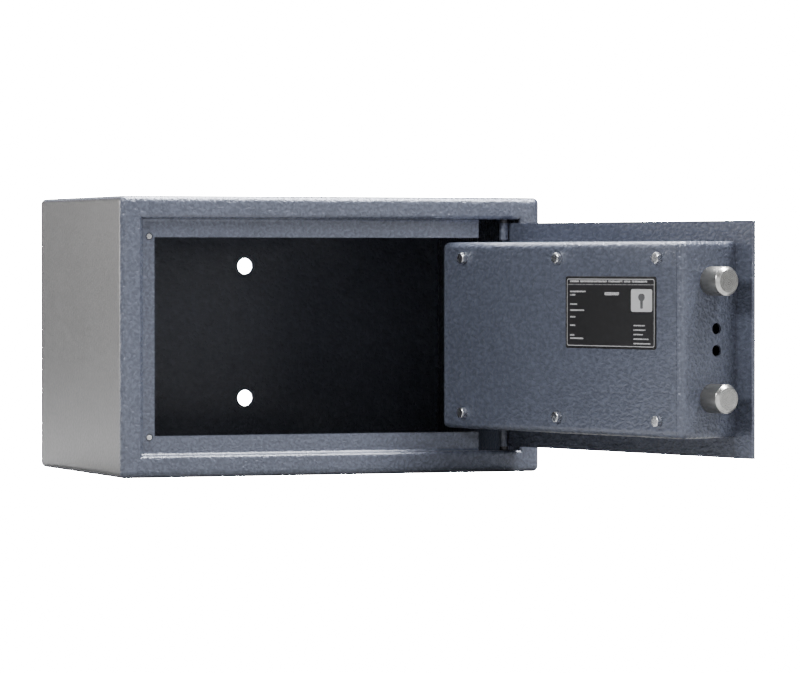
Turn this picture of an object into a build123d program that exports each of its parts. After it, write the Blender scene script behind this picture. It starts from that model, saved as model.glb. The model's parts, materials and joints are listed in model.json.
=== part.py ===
from build123d import *
import os

os.makedirs("parts", exist_ok=True)

# Wall safe: folded steel body, hinged door with a boxed bolt work on its inner face.
# Origin at the centre of the body's base, +Z up, the front faces -Y, millimetres.
# The door is drawn shut and then swung about its hinge pins to its open rest pose.

# body
body_width = 320.0
body_depth = 200.0
body_height = 200.0
body_wall = 3.0
frame_border = 16.0
body_edge_radius = 4.0
frame_edge_radius = 5.0
frame_lip_radius = 2.9
anchor_hole_radius = 6.0
anchor_hole_spacing = 100.0

# fits and gaps
running_clearance = 0.06
press_clearance = 0.02
moving_gap = 0.5
washer_gap = 0.3
screw_hole_clearance = 0.25

# door plate
door_recess = 2.0
door_plate_thickness = 3.0
door_gap_lock_side = 2.5
door_gap_hinge_side = 3.1
door_gap_height = 2.6
door_edge_radius = 1.0
door_open_angle = 105.0

# door stops behind the front frame
stop_reveal = 10.4
stop_reveal_height = 13.4
stop_thickness = 2.0
stop_flange = 3.0
stop_bend_radius = 2.3
stop_end_from_opening = 30.3
stop_bracket_width = 18.0
stop_bracket_height = 33.0
stop_rivet_radius = 1.25
stop_rivet_head_radius = 1.85
stop_rivet_head_height = 0.8
stop_rivet_bore_radius = 2.6
stop_rivet_bore_depth = 1.0
stop_rivet_inset = 3.8
stop_rivet_end = 12.8

# hinge
pin_from_opening = 9.5
pin_behind_plate = 3.0
pin_radius = 1.75
pin_engagement = 10.0
hinge_block_radius = 3.3
hinge_block_height = 12.4
hinge_bracket_width = 15.0
hinge_bracket_depth = 11.0
hinge_bracket_setback = 1.0
hinge_washer_radius = 3.0

# lock cover and bolt channel on the inner face of the door
cover_inset = 17.5
cover_overhang = 9.4
cover_depth = 48.0
cover_height = 134.5
cover_sheet = 2.0
cover_edge_radius = 5.0
cover_corner_radius = 4.0
channel_lip = 5.5
channel_seam = 0.3
channel_foot = 12.0
pilot_hole_radius = 4.0
pilot_hole_spacing = 15.0
pilot_hole_behind_plate = 17.1

# cover posts and screws
screw_pitch = 111.0
screw_from_channel = 24.5
screw_height_spacing = 111.4
post_radius = 4.0
cover_screw_radius = 2.0
cover_screw_length = 10.0
cover_screw_head_flats = 7.0
cover_screw_head_height = 4.0
cover_screw_head_chamfer = 0.5

# data plate
data_plate_width = 100.0
data_plate_height = 50.0
data_plate_thickness = 0.5
data_plate_from_channel = 27.0
data_plate_above_middle = 18.0
data_plate_corner_radius = 1.5

# locking bolts
bolt_radius = 10.0
bolt_spacing = 80.0
bolt_behind_plate = 21.8
bolt_projection = 18.3
bolt_length = 38.3
bolt_chamfer = 2.0
bolt_travel = 10.0
bolt_bar_thickness = 4.0
bolt_bar_width = 24.0
bolt_bar_height = 100.0
bolt_screw_radius = 2.5
bolt_screw_length = 10.0
bolt_screw_head_radius = 4.25
bolt_screw_head_height = 5.0
bolt_screw_socket_radius = 2.0
bolt_screw_socket_depth = 2.5

# drive plate, cam and handle
drive_plate_behind_plate = 23.0
drive_plate_thickness = 3.0
drive_plate_length = 86.0
drive_plate_height = 60.0
handle_from_plate_edge = 91.5
handle_turn = 60.0
cam_radius = 15.0
cam_thickness = 5.0
cam_gap = 1.0
drive_pin_circle_radius = 10.0
drive_pin_radius = 3.0
drive_pin_stand_out = 0.4
drive_pin_slot_gap = 0.4
spindle_radius = 5.0
bush_radius = 8.0
bush_flange_radius = 11.0
bush_flange_thickness = 4.0
circlip_thickness = 1.0
circlip_radius = 7.5
rosette_radius = 22.0
rosette_thickness = 3.0
knob_radius = 19.0
knob_base_thickness = 7.0
knob_grip_width = 11.0
knob_grip_height = 14.0
knob_edge_radius = 1.5
grub_screw_radius = 2.0
grub_screw_length = 8.0

# guide studs for the drive plate
guide_stud_radius = 4.0
guide_slot_gap = 0.4
guide_below_middle = 18.0
guide_stud_first = 30.0
guide_stud_spacing = 50.0
guide_washer_radius = 8.0
guide_washer_thickness = 1.5
guide_screw_radius = 2.0
guide_screw_length = 10.0
guide_screw_head_radius = 4.5
guide_screw_head_height = 3.0

# key lock
lock_case_width = 50.0
lock_case_height = 30.0
lock_case_depth = 29.0
lock_case_wall = 2.0
lock_case_middle = 0.0
lock_case_below_middle = 49.0
lock_lid_thickness = 2.0
lock_screw_radius = 1.5
lock_screw_inset = 5.0
lock_boss_radius = 3.5
lock_screw_length = 8.0
lock_screw_head_radius = 2.8
lock_screw_head_height = 1.8
lock_bolt_width = 6.0
lock_bolt_thickness = 5.0
lock_bolt_length = 26.5
lock_bolt_offset = 3.0
lock_bolt_travel = 8.0
lock_bolt_gap = 0.4
lock_notch_gap = 1.5
lever_count = 3
lever_thickness = 3.2
lever_width = 24.0
lever_height = 20.0
lever_post_radius = 2.5
lever_post_inset = 6.0
lever_collar_radius = 5.0
lever_floor_gap = 5.0
key_offset = 13.0
key_shank_radius = 3.5
key_hole_gap = 0.3
key_bit_reach = 7.0
key_bit_length = 14.0
key_bit_thickness = 2.4
key_bit_from_lid = 12.0
key_tip_from_lid = 10.0
key_stand_off = 10.0
key_bow_radius = 12.0
key_bow_hole_radius = 6.0
key_bow_thickness = 3.5
key_slot_gap = 0.5
escutcheon_radius = 11.0
escutcheon_thickness = 2.5

# places worked out from the sizes above
front = -body_depth / 2
back = body_depth / 2
frame_back = front + body_wall
inner_x = body_width / 2 - body_wall
ceiling = body_height - body_wall
middle = body_height / 2
opening_x = body_width / 2 - frame_border
opening_floor = frame_border
opening_top = body_height - frame_border

plate_front = front + door_recess
plate_back = plate_front + door_plate_thickness
plate_left = -opening_x + door_gap_lock_side
plate_right = opening_x - door_gap_hinge_side
plate_floor = opening_floor + door_gap_height
plate_top = opening_top - door_gap_height

pin_x = opening_x - pin_from_opening
pin_y = plate_back + pin_behind_plate

stop_front = plate_back + moving_gap
stop_back = stop_front + stop_thickness
stop_edge = -opening_x + stop_reveal
stop_floor = opening_floor + stop_reveal_height
stop_ceiling = opening_top - stop_reveal_height
stop_end = opening_x - stop_end_from_opening

channel_left = plate_left + cover_inset
channel_right = channel_left + channel_lip
cover_left = channel_right + channel_seam
cover_right = plate_right + cover_overhang
cover_back = plate_back + cover_depth
cover_inside = cover_back - cover_sheet
cover_floor = middle - cover_height / 2
cover_top = middle + cover_height / 2

bolt_y = plate_back + bolt_behind_plate
bolt_tip = channel_left - bolt_projection
bolt_end = bolt_tip + bolt_length
bolt_heights = [middle - bolt_spacing / 2, middle + bolt_spacing / 2]
stop_leg_end = bolt_y - bolt_radius - moving_gap

bar_right = bolt_end + bolt_bar_thickness
drive_front = plate_back + drive_plate_behind_plate
drive_back = drive_front + drive_plate_thickness
drive_floor = middle - drive_plate_height / 2
drive_top = middle + drive_plate_height / 2
handle_x = plate_left + handle_from_plate_edge
cam_back = drive_front - cam_gap
cam_front = cam_back - cam_thickness

screw_xs = [channel_left + screw_from_channel + k * screw_pitch for k in range(3)]
screw_zs = [middle - screw_height_spacing / 2, middle + screw_height_spacing / 2]

guide_z = middle - guide_below_middle
guide_xs = [handle_x - guide_stud_first, handle_x - guide_stud_first + guide_stud_spacing]

case_x = handle_x + lock_case_middle
case_left = case_x - lock_case_width / 2
case_right = case_x + lock_case_width / 2
case_z = middle - lock_case_below_middle
case_floor = case_z - lock_case_height / 2
case_top = case_z + lock_case_height / 2
case_back = plate_back + lock_case_depth
lid_back = case_back + lock_lid_thickness
lock_bolt_x = case_x - lock_bolt_offset
lock_bolt_front = drive_front + (drive_plate_thickness - lock_bolt_thickness) / 2
lock_bolt_top = drive_floor - lock_notch_gap
key_x = case_x + key_offset
key_z = case_z - lock_case_wall


def block(x0, x1, y0, y1, z0, z1):
    """Box between two corners."""
    size = (x1 - x0, y1 - y0, z1 - z0)
    return Pos((x0 + x1) / 2, (y0 + y1) / 2, (z0 + z1) / 2) * Box(*size)


def rod_y(x, z, radius, y0, y1):
    """Round bar along Y."""
    return Pos(x, (y0 + y1) / 2, z) * Rot(90, 0, 0) * Cylinder(radius, y1 - y0)


def rod_x(y, z, radius, x0, x1):
    """Round bar along X."""
    return Pos((x0 + x1) / 2, y, z) * Rot(0, 90, 0) * Cylinder(radius, x1 - x0)


def rod_z(x, y, radius, z0, z1):
    """Round bar along Z."""
    return Pos(x, y, (z0 + z1) / 2) * Cylinder(radius, z1 - z0)


def join(pieces):
    """One solid out of touching pieces."""
    whole = pieces[0]
    for piece in pieces[1:]:
        whole = whole + piece
    return whole


def save(node, pieces):
    """Writes one node; a group of separate solids becomes one compound."""
    solids = []
    for piece in pieces:
        solids.extend(piece.solids())
    shape = solids[0] if len(solids) == 1 else Compound(children=solids)
    shape.label = node
    export_step(shape, "parts/" + node + ".step")


def swing(piece):
    """Turns a piece of the door from shut to its open rest pose about the hinge pins."""
    return Pos(pin_x, pin_y, 0) * Rot(0, 0, door_open_angle) * Pos(-pin_x, -pin_y, 0) * piece


def save_door(node, pieces):
    """Writes one node that rides on the door."""
    save(node, [swing(piece) for piece in pieces])


# ---- body ----


def body_shell():
    """Four walls and the front frame, folded out of one sheet, open at the back."""
    shell = block(-body_width / 2, body_width / 2, front, back, 0, body_height)
    shell = fillet(shell.edges().filter_by(Axis.Y), body_edge_radius)
    rim = shell.faces().sort_by(Axis.Y)[0].edges()
    shell = fillet(rim, frame_edge_radius - press_clearance)
    shell = shell - block(-inner_x, inner_x, frame_back, back, body_wall, ceiling)
    opening = block(-opening_x, opening_x, front, frame_back, opening_floor, opening_top)
    shell = shell - opening
    near_front = shell.faces().sort_by(Axis.Y)[0]
    lip = near_front.inner_wires()[0].edges()
    return fillet(lip, frame_lip_radius)


def back_panel():
    """Back wall inside the shell, with the two wall anchor holes on its centre line."""
    panel = block(-inner_x, inner_x, back - body_wall, back, body_wall, ceiling)
    for side in (-1, 1):
        z = middle + side * anchor_hole_spacing / 2
        panel = panel - rod_y(0, z, anchor_hole_radius, back - body_wall, back)
    return panel


def stop_rivet_places():
    """X and Z of the rivets at both ends of the lock-side stop."""
    x = stop_edge - stop_rivet_inset
    low = opening_floor + stop_rivet_end
    return [(x, low), (x, body_height - low)]


def rivet_hole(x, z):
    """Hole through the stop and its bracket, counterbored from the front."""
    through = rod_y(x, z, stop_rivet_radius + press_clearance, stop_front, stop_back + stop_thickness)
    return through + rod_y(x, z, stop_rivet_bore_radius, stop_front, stop_front + stop_rivet_bore_depth)


def stop_rivet(x, z):
    """Rivet through the stop and its bracket, its head on the floor of the counterbore."""
    floor = stop_front + stop_rivet_bore_depth
    head = rod_y(x, z, stop_rivet_head_radius, floor - stop_rivet_head_height, floor)
    return head + rod_y(x, z, stop_rivet_radius, floor, stop_back + stop_thickness)


def bend(stop, keep):
    """Rounds the inner corner between the leaf and the flange, at the edges picked by keep."""
    edges = [edge for edge in stop.edges() if abs(edge.center().Y - stop_front) < 0.01 and keep(edge.center())]
    return fillet(edges, stop_bend_radius)


def on_opening(at):
    """True for a place on the outline of the front opening."""
    return (
        abs(at.X + opening_x) < 0.01
        or abs(at.Z - opening_floor) < 0.01
        or abs(at.Z - opening_top) < 0.01
    )


def door_stop_left():
    """Angle behind the lock side of the frame; its leg takes the load of the bolts."""
    leaf = block(-inner_x, stop_edge, stop_front, stop_back, body_wall, ceiling)
    leg = block(stop_edge - stop_thickness, stop_edge, stop_back, stop_leg_end, body_wall, ceiling)
    outside = -opening_x - stop_flange
    low, high = opening_floor - stop_flange, opening_top + stop_flange
    flange = block(outside, stop_edge, frame_back, stop_front, low, high)
    flange = flange - block(-opening_x, stop_edge, frame_back, stop_front, opening_floor, opening_top)
    stop = bend(leaf + flange, lambda at: at.X < stop_edge - 1 and on_opening(at)) + leg
    for x, z in stop_rivet_places():
        stop = stop - rivet_hole(x, z)
    return stop


def door_stop_level(top):
    """Angle behind the top or the bottom of the frame."""
    edge = stop_ceiling if top else stop_floor
    wall = ceiling if top else body_wall
    tip = edge + stop_thickness if top else edge - stop_thickness
    leaf = block(stop_edge, stop_end, stop_front, stop_back, min(edge, wall), max(edge, wall))
    leg = block(stop_edge, stop_end, stop_back, stop_leg_end, min(edge, tip), max(edge, tip))
    lip = opening_top if top else opening_floor
    far = lip + stop_flange if top else lip - stop_flange
    flange = block(stop_edge, stop_end, frame_back, stop_front, min(lip, far), max(lip, far))
    return bend(leaf + flange, on_opening) + leg


def stop_brackets():
    """Two tabs behind the lock-side stop that tie it to the floor and the ceiling."""
    tabs = []
    right = stop_edge - stop_thickness
    for low, high in (
        (body_wall, body_wall + stop_bracket_height),
        (ceiling - stop_bracket_height, ceiling),
    ):
        tab = block(right - stop_bracket_width, right, stop_back, stop_back + stop_thickness, low, high)
        for x, z in stop_rivet_places():
            tab = tab - rivet_hole(x, z)
        tabs.append(tab)
    return tabs


def hinge_bracket(top):
    """Block behind the frame that holds one hinge pin."""
    low = opening_top + hinge_bracket_setback if top else body_wall
    high = ceiling if top else opening_floor - hinge_bracket_setback
    left = pin_x - hinge_bracket_width / 2
    bracket = block(
        left, left + hinge_bracket_width, frame_back, frame_back + hinge_bracket_depth, low, high
    )
    return bracket - rod_z(pin_x, pin_y, pin_radius + press_clearance, low, high)


def hinge_pin(top):
    """Pin from the bracket into the hinge block of the door."""
    if top:
        return rod_z(pin_x, pin_y, pin_radius, plate_top - pin_engagement, ceiling)
    return rod_z(pin_x, pin_y, pin_radius, body_wall, plate_floor + pin_engagement)


def hinge_washer(top):
    """Thrust washer on the pin between bracket and door."""
    if top:
        low = plate_top + washer_gap
        high = opening_top + hinge_bracket_setback
    else:
        low = opening_floor - hinge_bracket_setback
        high = plate_floor - washer_gap
    ring = rod_z(pin_x, pin_y, hinge_washer_radius, low, high)
    return ring - rod_z(pin_x, pin_y, pin_radius + press_clearance, low, high)


# ---- door ----


def key_hole(y0, y1):
    """Round hole with a slot below it, for shank and bit of the key."""
    width = key_bit_thickness + 2 * key_slot_gap
    reach = key_bit_reach + key_slot_gap
    hole = rod_y(key_x, key_z, key_shank_radius + key_hole_gap, y0, y1)
    slot = block(key_x - width / 2, key_x + width / 2, y0, y1, key_z - reach, key_z)
    return hole + slot


def door_plate():
    """Flat door plate with the handle hole and the key hole."""
    plate = block(plate_left, plate_right, plate_front, plate_back, plate_floor, plate_top)
    plate = fillet(plate.edges().filter_by(Axis.Z), door_edge_radius)
    plate = plate - rod_y(handle_x, middle, bush_radius + press_clearance, plate_front, plate_back)
    return plate - key_hole(plate_front, plate_back)


def hinge_block(top):
    """Round knuckle on the inner face of the door plate, bored for the hinge pin."""
    low = plate_top - hinge_block_height if top else plate_floor
    high = low + hinge_block_height
    knuckle = rod_z(pin_x, pin_y, hinge_block_radius, low, high)
    beyond = pin_y - 2 * hinge_block_radius
    reach = 2 * hinge_block_radius
    knuckle = knuckle - block(pin_x - reach, pin_x + reach, beyond, plate_back, low, high)
    return knuckle - rod_z(pin_x, pin_y, pin_radius + running_clearance, low, high)


def cover_box():
    """Hollow rounded box over the bolt work, open towards the door plate."""
    box = block(channel_left, cover_right, plate_back, cover_back, cover_floor, cover_top)
    box = fillet(box.edges().filter_by(Axis.Y), cover_corner_radius)
    rim = box.faces().sort_by(Axis.Y)[-1].edges()
    box = fillet(rim, cover_edge_radius)
    inside = block(
        channel_left + cover_sheet,
        cover_right - cover_sheet,
        plate_back,
        cover_inside,
        cover_floor + cover_sheet,
        cover_top - cover_sheet,
    )
    inside = fillet(inside.edges().filter_by(Axis.Y), cover_corner_radius - cover_sheet)
    rim = inside.faces().sort_by(Axis.Y)[-1].edges()
    inside = fillet(rim, cover_edge_radius - cover_sheet)
    return box - inside


def bolt_channel():
    """Lock-side end of the bolt work box: guides both bolts, with a foot on the plate."""
    side = block(channel_left, channel_right, plate_back, cover_back, cover_floor, cover_top)
    channel = cover_box() & side
    foot = block(
        channel_left + cover_sheet,
        channel_left + channel_foot,
        plate_back,
        plate_back + cover_sheet,
        cover_floor + cover_corner_radius,
        cover_top - cover_corner_radius,
    )
    channel = channel + foot
    through = channel_left + cover_sheet
    for z in bolt_heights:
        channel = channel - rod_x(bolt_y, z, bolt_radius + running_clearance, channel_left, through)
    for side in (-1, 1):
        z = middle + side * pilot_hole_spacing / 2
        y = plate_back + pilot_hole_behind_plate
        channel = channel - rod_x(y, z, pilot_hole_radius, channel_left, through)
    return channel


def lock_cover():
    """Large folded cover over the bolt work, held by six screws."""
    cover = cover_box() & block(cover_left, cover_right, plate_back, cover_back, cover_floor, cover_top)
    for x in screw_xs:
        for z in screw_zs:
            hole = cover_screw_radius + screw_hole_clearance
            cover = cover - rod_y(x, z, hole, cover_inside, cover_back)
    return cover


def cover_post(x, z):
    """Round post on the door plate, bored for a cover screw."""
    post = rod_y(x, z, post_radius, plate_back, cover_inside)
    bore = cover_screw_radius + press_clearance
    return post - rod_y(x, z, bore, cover_inside - cover_screw_length, cover_inside)


def cover_screw(x, z):
    """Hexagon head screw through the cover into its post."""
    head_sketch = RegularPolygon(cover_screw_head_flats / 2, 6, major_radius=False, rotation=90)
    head = extrude(head_sketch, cover_screw_head_height)
    head = chamfer(head.faces().sort_by(Axis.Z)[-1].edges(), cover_screw_head_chamfer)
    head = Pos(x, cover_back, z) * Rot(-90, 0, 0) * head
    shank = rod_y(x, z, cover_screw_radius, cover_inside - cover_screw_length, cover_back)
    return head + shank


def data_plate():
    """Thin sticker plate on the cover."""
    left = channel_left + data_plate_from_channel
    right = left + data_plate_width
    centre = middle + data_plate_above_middle
    low = centre - data_plate_height / 2
    plate = block(left, right, cover_back, cover_back + data_plate_thickness, low, low + data_plate_height)
    return fillet(plate.edges().filter_by(Axis.Y), data_plate_corner_radius)


# ---- handle and bolt work ----


def knob_rosette():
    """Round plate on the front of the door behind the knob."""
    ring = rod_y(handle_x, middle, rosette_radius, plate_front - rosette_thickness, plate_front)
    ring = ring - rod_y(
        handle_x, middle, bush_radius + press_clearance, plate_front - rosette_thickness, plate_front
    )
    return ring


def spindle_bush():
    """Flanged bush in the door plate that guides the spindle."""
    start = plate_front - rosette_thickness
    end = plate_back + bush_flange_thickness
    bush = rod_y(handle_x, middle, bush_radius, start, end)
    bush = bush + rod_y(handle_x, middle, bush_flange_radius, plate_back, end)
    return bush - rod_y(handle_x, middle, spindle_radius + running_clearance, start, end)


def knob():
    """Turning knob: round base with a straight grip across it."""
    base_back = plate_front - rosette_thickness - moving_gap
    base_front = base_back - knob_base_thickness
    base = rod_y(handle_x, middle, knob_radius, base_front, base_back)
    base = fillet(base.edges().sort_by(Axis.Y)[0], knob_edge_radius)
    reach = knob_radius - knob_edge_radius
    grip = block(
        handle_x - knob_grip_width / 2,
        handle_x + knob_grip_width / 2,
        base_front - knob_grip_height,
        base_front,
        middle - reach,
        middle + reach,
    )
    grip = fillet(grip.edges().filter_by(Axis.Y), knob_edge_radius)
    grip = fillet(grip.faces().sort_by(Axis.Y)[0].edges(), knob_edge_radius)
    whole = base + grip
    bore = spindle_radius + press_clearance
    whole = whole - rod_y(handle_x, middle, bore, base_front, base_back)
    grub_y = (base_front + base_back) / 2
    grub = rod_x(grub_y, middle, grub_screw_radius + press_clearance, handle_x, handle_x + knob_radius)
    return whole - grub


def knob_grub_screw():
    """Screw that locks the knob on the spindle."""
    y = plate_front - rosette_thickness - moving_gap - knob_base_thickness / 2
    start = handle_x + spindle_radius + press_clearance
    return rod_x(y, middle, grub_screw_radius, start, start + grub_screw_length)


def spindle():
    """Shaft from the knob to the cam."""
    start = plate_front - rosette_thickness - moving_gap - knob_base_thickness
    return rod_y(handle_x, middle, spindle_radius, start, cam_back)


def spindle_circlip():
    """Ring that keeps the spindle in its bush."""
    start = plate_back + bush_flange_thickness + washer_gap
    ring = rod_y(handle_x, middle, circlip_radius, start, start + circlip_thickness)
    bore = spindle_radius + press_clearance
    return ring - rod_y(handle_x, middle, bore, start, start + circlip_thickness)


def drive_pin_rest():
    """X and Z of the drive pin with the bolts thrown, half the turn before upright."""
    place = Rot(0, -handle_turn / 2, 0) * Pos(0, 0, drive_pin_circle_radius)
    return handle_x + place.position.X, middle + place.position.Z


def cam():
    """Round cam on the end of the spindle."""
    disc = rod_y(handle_x, middle, cam_radius, cam_front, cam_back)
    disc = disc - rod_y(handle_x, middle, spindle_radius + press_clearance, cam_front, cam_back)
    x, z = drive_pin_rest()
    return disc - rod_y(x, z, drive_pin_radius + press_clearance, cam_front, cam_back)


def drive_pin():
    """Pin in the cam that moves the drive plate."""
    x, z = drive_pin_rest()
    return rod_y(x, z, drive_pin_radius, cam_front, drive_back + drive_pin_stand_out)


def bolt_bar():
    """Upright bar that carries both bolts."""
    bar = block(
        bolt_end,
        bar_right,
        bolt_y - bolt_bar_width / 2,
        bolt_y + bolt_bar_width / 2,
        middle - bolt_bar_height / 2,
        middle + bolt_bar_height / 2,
    )
    for z in bolt_heights:
        hole = bolt_screw_radius + screw_hole_clearance
        bar = bar - rod_x(bolt_y, z, hole, bolt_end, bar_right)
    return bar


def drive_plate():
    """Flat plate joined to the bolt bar, with the slots for drive pin, guides and lock."""
    left = bar_right
    right = bar_right + drive_plate_length
    plate = block(left, right, drive_front, drive_back, drive_floor, drive_top)
    pin_x_rest, pin_z_rest = drive_pin_rest()
    half = drive_pin_radius + drive_pin_slot_gap
    pin_top = middle + drive_pin_circle_radius
    plate = plate - block(
        pin_x_rest - half, pin_x_rest + half, drive_front, drive_back, pin_z_rest - half, pin_top + half
    )
    reach = guide_stud_radius + guide_slot_gap
    for x in guide_xs:
        plate = plate - block(
            x - bolt_travel - reach, x + reach, drive_front, drive_back, guide_z - reach, guide_z + reach
        )
    half = lock_bolt_width / 2 + lock_bolt_gap
    notch_top = lock_bolt_top + lock_bolt_travel + lock_notch_gap
    for shift in (0, -bolt_travel):
        x = lock_bolt_x + shift
        plate = plate - block(x - half, x + half, drive_front, drive_back, drive_floor, notch_top)
    return plate


def locking_bolt(z):
    """Round bolt with a chamfered tip, tapped at its inner end."""
    bolt = rod_x(bolt_y, z, bolt_radius, bolt_tip, bolt_end)
    bolt = chamfer(bolt.edges().sort_by(Axis.X)[0], bolt_chamfer)
    bore = bolt_screw_radius + press_clearance
    return bolt - rod_x(bolt_y, z, bore, bolt_end - bolt_screw_length, bolt_end)


def bolt_screw(z):
    """Socket head screw that holds a bolt on the bar."""
    head_end = bar_right + bolt_screw_head_height
    shank = rod_x(bolt_y, z, bolt_screw_radius, bolt_end - bolt_screw_length, bar_right)
    head = rod_x(bolt_y, z, bolt_screw_head_radius, bar_right, head_end)
    socket = rod_x(bolt_y, z, bolt_screw_socket_radius, head_end - bolt_screw_socket_depth, head_end)
    return shank + head - socket


def guide_stud(x):
    """Shoulder stud on the door plate that the drive plate slides on."""
    end = drive_back + washer_gap
    stud = rod_y(x, guide_z, guide_stud_radius, plate_back, end)
    return stud - rod_y(x, guide_z, guide_screw_radius + press_clearance, end - guide_screw_length, end)


def guide_washer(x):
    """Washer that keeps the drive plate on its stud."""
    start = drive_back + washer_gap
    end = start + guide_washer_thickness
    ring = rod_y(x, guide_z, guide_washer_radius, start, end)
    return ring - rod_y(x, guide_z, guide_screw_radius + press_clearance, start, end)


def guide_screw(x):
    """Screw in the end of a guide stud."""
    seat = drive_back + washer_gap + guide_washer_thickness
    shank_start = drive_back + washer_gap - guide_screw_length
    shank = rod_y(x, guide_z, guide_screw_radius, shank_start, seat)
    return shank + rod_y(x, guide_z, guide_screw_head_radius, seat, seat + guide_screw_head_height)


# ---- key lock ----


def lock_screw_places():
    """X and Z of the two lid screws, in opposite corners of the case."""
    inset = lock_screw_inset
    return [(case_left + inset, case_top - inset), (case_right - inset, case_top - inset)]


def lock_case():
    """Tray on the door plate that holds levers and lock bolt."""
    case = block(case_left, case_right, plate_back, case_back, case_floor, case_top)
    hollow = block(
        case_left + lock_case_wall,
        case_right - lock_case_wall,
        plate_back + lock_case_wall,
        case_back,
        case_floor + lock_case_wall,
        case_top - lock_case_wall,
    )
    case = case - hollow
    floor = plate_back + lock_case_wall
    for x, z in lock_screw_places():
        case = case + rod_y(x, z, lock_boss_radius, floor, case_back)
        bore = lock_screw_radius + press_clearance
        case = case - rod_y(x, z, bore, case_back - lock_screw_length, case_back)
    case = case - key_hole(plate_back, floor)
    gap = lock_bolt_gap
    slot = block(
        lock_bolt_x - lock_bolt_width / 2 - gap,
        lock_bolt_x + lock_bolt_width / 2 + gap,
        lock_bolt_front - gap,
        lock_bolt_front + lock_bolt_thickness + gap,
        case_top - lock_case_wall,
        case_top,
    )
    case = case - slot
    post_x, post_z = lever_post_place()
    return case - rod_y(post_x, post_z, lever_post_radius + press_clearance, plate_back, floor)


def lock_case_lid():
    """Lid of the lock case."""
    lid = block(case_left, case_right, case_back, lid_back, case_floor, case_top)
    for x, z in lock_screw_places():
        hole = lock_screw_radius + screw_hole_clearance
        lid = lid - rod_y(x, z, hole, case_back, lid_back)
    return lid


def lock_case_screw(x, z):
    """Small screw that holds the lid."""
    shank = rod_y(x, z, lock_screw_radius, case_back - lock_screw_length, lid_back)
    head_end = lid_back + lock_screw_head_height
    return shank + rod_y(x, z, lock_screw_head_radius, lid_back, head_end)


def lever_post_place():
    """X and Z of the post that the levers sit on."""
    x = case_left + lock_case_wall + lever_post_inset
    return x, case_floor + lock_case_wall + lever_post_inset


def lever_post():
    """Post with a collar that carries the lever pack."""
    x, z = lever_post_place()
    floor = plate_back + lock_case_wall
    post = rod_y(x, z, lever_post_radius, plate_back, case_back)
    return post + rod_y(x, z, lever_collar_radius, floor, floor + lever_floor_gap)


def lever(number):
    """One lever of the pack."""
    start = plate_back + lock_case_wall + lever_floor_gap + number * lever_thickness
    end = start + lever_thickness
    left = case_left + lock_case_wall + press_clearance
    low = case_floor + lock_case_wall + press_clearance
    x, z = lever_post_place()
    body = block(left, left + lever_width, start, end, low, low + lever_height)
    body = body - rod_y(x, z, lever_post_radius + press_clearance, start, end)
    boss_x, boss_z = lock_screw_places()[0]
    return body - rod_y(boss_x, boss_z, lock_boss_radius + washer_gap, start, end)


def lock_bolt():
    """Small upright bolt that blocks the drive plate."""
    half = lock_bolt_width / 2
    end = lock_bolt_front + lock_bolt_thickness
    low = lock_bolt_top - lock_bolt_length
    return block(lock_bolt_x - half, lock_bolt_x + half, lock_bolt_front, end, low, lock_bolt_top)


def key():
    """Key with a flat bow, round shank and a plain bit."""
    tip = case_back - key_tip_from_lid
    bow_end = plate_front - key_stand_off
    shank = rod_y(key_x, key_z, key_shank_radius, bow_end - key_bow_radius, tip)
    bit_end = case_back - key_bit_from_lid
    half = key_bit_thickness / 2
    bit = block(
        key_x - half, key_x + half, bit_end - key_bit_length, bit_end, key_z - key_bit_reach, key_z
    )
    bow = Cylinder(key_bow_radius, key_bow_thickness) - Cylinder(key_bow_hole_radius, key_bow_thickness)
    bow_y = bow_end - key_bow_radius - key_bow_hole_radius
    bow = Pos(key_x, bow_y, key_z) * Rot(0, 90, 0) * bow
    return join([shank, bit, bow])


def escutcheon():
    """Round keyhole plate on the front of the door."""
    start = plate_front - escutcheon_thickness
    disc = rod_y(key_x, key_z, escutcheon_radius, start, plate_front)
    return disc - key_hole(start, plate_front)


save("body_shell", [body_shell()])
save("back_panel", [back_panel()])
save("door_stop_left", [door_stop_left()])
save("door_stop_top", [door_stop_level(True)])
save("door_stop_bottom", [door_stop_level(False)])
save("stop_brackets", stop_brackets())
save("stop_rivets", [stop_rivet(x, z) for x, z in stop_rivet_places()])
save("hinge_bracket_upper", [hinge_bracket(True)])
save("hinge_bracket_lower", [hinge_bracket(False)])
save("hinge_pin_upper", [hinge_pin(True)])
save("hinge_pin_lower", [hinge_pin(False)])
save("hinge_washers", [hinge_washer(True), hinge_washer(False)])

save_door("door_plate", [door_plate()])
save_door("hinge_block_upper", [hinge_block(True)])
save_door("hinge_block_lower", [hinge_block(False)])
save_door("bolt_channel", [bolt_channel()])
save_door("lock_cover", [lock_cover()])
save_door("cover_posts", [cover_post(x, z) for x in screw_xs for z in screw_zs])
save_door("cover_screws", [cover_screw(x, z) for x in screw_xs for z in screw_zs])
save_door("data_plate", [data_plate()])
save_door("knob_rosette", [knob_rosette()])
save_door("spindle_bush", [spindle_bush()])
save_door("guide_studs", [guide_stud(x) for x in guide_xs])
save_door("guide_washers", [guide_washer(x) for x in guide_xs])
save_door("guide_screws", [guide_screw(x) for x in guide_xs])
save_door("lock_case", [lock_case()])
save_door("lock_case_lid", [lock_case_lid()])
save_door("lock_case_screws", [lock_case_screw(x, z) for x, z in lock_screw_places()])
save_door("lever_post", [lever_post()])
save_door("lever_pack", [lever(number) for number in range(lever_count)])
save_door("escutcheon", [escutcheon()])

save_door("knob", [knob()])
save_door("knob_grub_screw", [knob_grub_screw()])
save_door("spindle", [spindle()])
save_door("spindle_circlip", [spindle_circlip()])
save_door("cam", [cam()])
save_door("drive_pin", [drive_pin()])

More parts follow.
